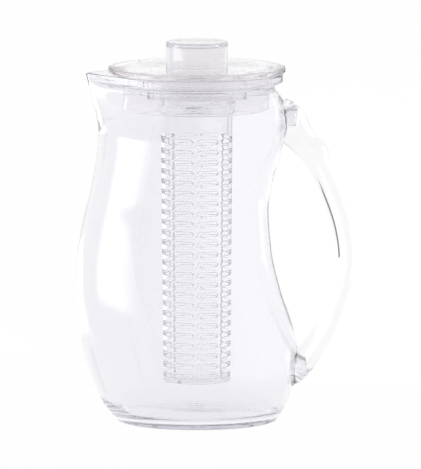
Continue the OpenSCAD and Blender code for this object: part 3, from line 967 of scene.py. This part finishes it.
def blended(nodes, links, share, first, second):
    """Makes a material's surface a mix of two shaders, share being the second one's."""
    blend = nodes.new("ShaderNodeMixShader")
    links.new(share, blend.inputs[0])
    links.new(first.outputs[0], blend.inputs[1])
    links.new(second.outputs[0], blend.inputs[2])
    links.new(blend.outputs[0], nodes["Material Output"].inputs["Surface"])


def stage_board(name, corners):
    """A flat four-cornered board that isn't part of the object."""
    mesh = bpy.data.meshes.new(name)
    mesh.from_pydata(corners, [], [(0, 1, 2, 3)])
    board = bpy.data.objects.new(name, mesh)
    bpy.context.scene.collection.objects.link(board)
    return board


def make_floor():
    size = FLOOR_HALF
    floor = stage_board("floor", [(-size, -size, 0), (size, -size, 0), (size, size, 0),
                                  (-size, size, 0)])
    mat = bpy.data.materials.new("floor_white")
    mat.use_nodes = True
    nodes, links = mat.node_tree.nodes, mat.node_tree.links
    diffuse = nodes["Principled BSDF"]
    put(diffuse, Base_Color=(0.9, 0.9, 0.91, 1), Roughness=0.9, Specular_IOR_Level=0)
    glow = nodes.new("ShaderNodeEmission")
    put(glow, Color=(1, 1, 1, 1), Strength=1)
    rays = nodes.new("ShaderNodeLightPath").outputs
    seen = math_node(nodes, links, "MAXIMUM", rays["Is Camera Ray"], rays["Is Glossy Ray"])
    seen = math_node(nodes, links, "MAXIMUM", seen, rays["Is Transmission Ray"])
    share = math_node(nodes, links, "MULTIPLY", seen, FLOOR_GLOW)
    blended(nodes, links, share, diffuse, glow)
    give(floor, mat)


def make_world():
    """White all round and below, greyer towards the ceiling, alike for every ray."""
    world = bpy.data.worlds.new("studio")
    bpy.context.scene.world = world
    world.use_nodes = True
    nodes, links = world.node_tree.nodes, world.node_tree.links
    coords = nodes.new("ShaderNodeTexCoord")
    split = nodes.new("ShaderNodeSeparateXYZ")
    links.new(coords.outputs["Generated"], split.inputs[0])
    height = nodes.new("ShaderNodeMapRange")
    height.interpolation_type = "SMOOTHSTEP"
    put(height, From_Min=0.30, From_Max=0.90, To_Min=1.0, To_Max=0.40)
    links.new(split.outputs["Z"], height.inputs["Value"])
    links.new(height.outputs["Result"], nodes["Background"].inputs["Color"])


def panel(name, corners, radiance, soft):
    """A four-cornered glow that only the object's surfaces show."""
    board = stage_board(name, corners)
    layer = board.data.uv_layers.new(name="UVMap")
    for loop, uv in zip(layer.data, ((0, 0), (1, 0), (1, 1), (0, 1))):
        loop.uv = uv
    board.visible_camera = False
    board.visible_transmission = name not in REFLECTED_ONLY
    board.visible_shadow = False
    mat = bpy.data.materials.new(name + "_glow")
    mat.use_nodes = True
    nodes, links = mat.node_tree.nodes, mat.node_tree.links
    glow = nodes.new("ShaderNodeEmission")
    put(glow, Strength=radiance)
    clear = nodes.new("ShaderNodeBsdfTransparent")
    where = nodes.new("ShaderNodeTexCoord")
    split = nodes.new("ShaderNodeSeparateXYZ")
    links.new(where.outputs["UV"], split.inputs[0])
    share = 1
    for axis, ends in (("X", soft[:2]), ("Y", soft[2:])):
        for start, end in ((0, ends[0]), (1, 1 - ends[1])):
            fade = nodes.new("ShaderNodeMapRange")
            fade.interpolation_type = "SMOOTHSTEP"
            put(fade, From_Min=start, From_Max=end)
            links.new(split.outputs[axis], fade.inputs["Value"])
            share = math_node(nodes, links, "MULTIPLY", fade.outputs["Result"], share)
    blended(nodes, links, share, clear, glow)
    give(board, mat)


def make_camera():
    """The photograph's view: from the front, slightly above, through a long lens."""
    data = bpy.data.cameras.new("camera")
    cam = bpy.data.objects.new("camera", data)
    bpy.context.scene.collection.objects.link(cam)
    back = Vector((0, -math.cos(CAMERA_RISE), math.sin(CAMERA_RISE)))
    cam.location = CAMERA_TARGET + CAMERA_DISTANCE * back
    cam.rotation_euler = (math.radians(90) - CAMERA_RISE, 0, 0)
    data.sensor_fit = "VERTICAL"
    data.sensor_height = SENSOR
    data.lens = SENSOR * CAMERA_DISTANCE / (FRAME_H_PX * PX * MM)
    data.clip_end = 100
    bpy.context.scene.camera = cam


def main():
    mats = {name: clear_plastic(name, *finish) for name, finish in FINISHES.items()}
    for make, *names in (
            (make_jug, "jug_plastic"), (make_handle, "handle_plastic"), (make_lid, "lid_plastic"),
            (make_knob, "knob_plastic"), (make_seal, "clear_silicone"),
            (make_socket, "socket_plastic"), (make_collar, "infuser_plastic"),
            (make_end_cap, "end_cap_plastic"), (make_tube, "infuser_plastic", "slot_edge_painted_shade")):
        give(make(), *[mats[name] for name in names])
    make_floor()
    make_world()
    for row in PANELS:
        panel(*row)
    make_camera()
    scene = bpy.context.scene
    scene.view_settings.view_transform = "Standard"
    # Enough bounces for light to get through every wall of lid, jug and infuser
    scene.cycles.max_bounces = 64
    scene.cycles.transmission_bounces = 48
    scene.cycles.glossy_bounces = 48


main()
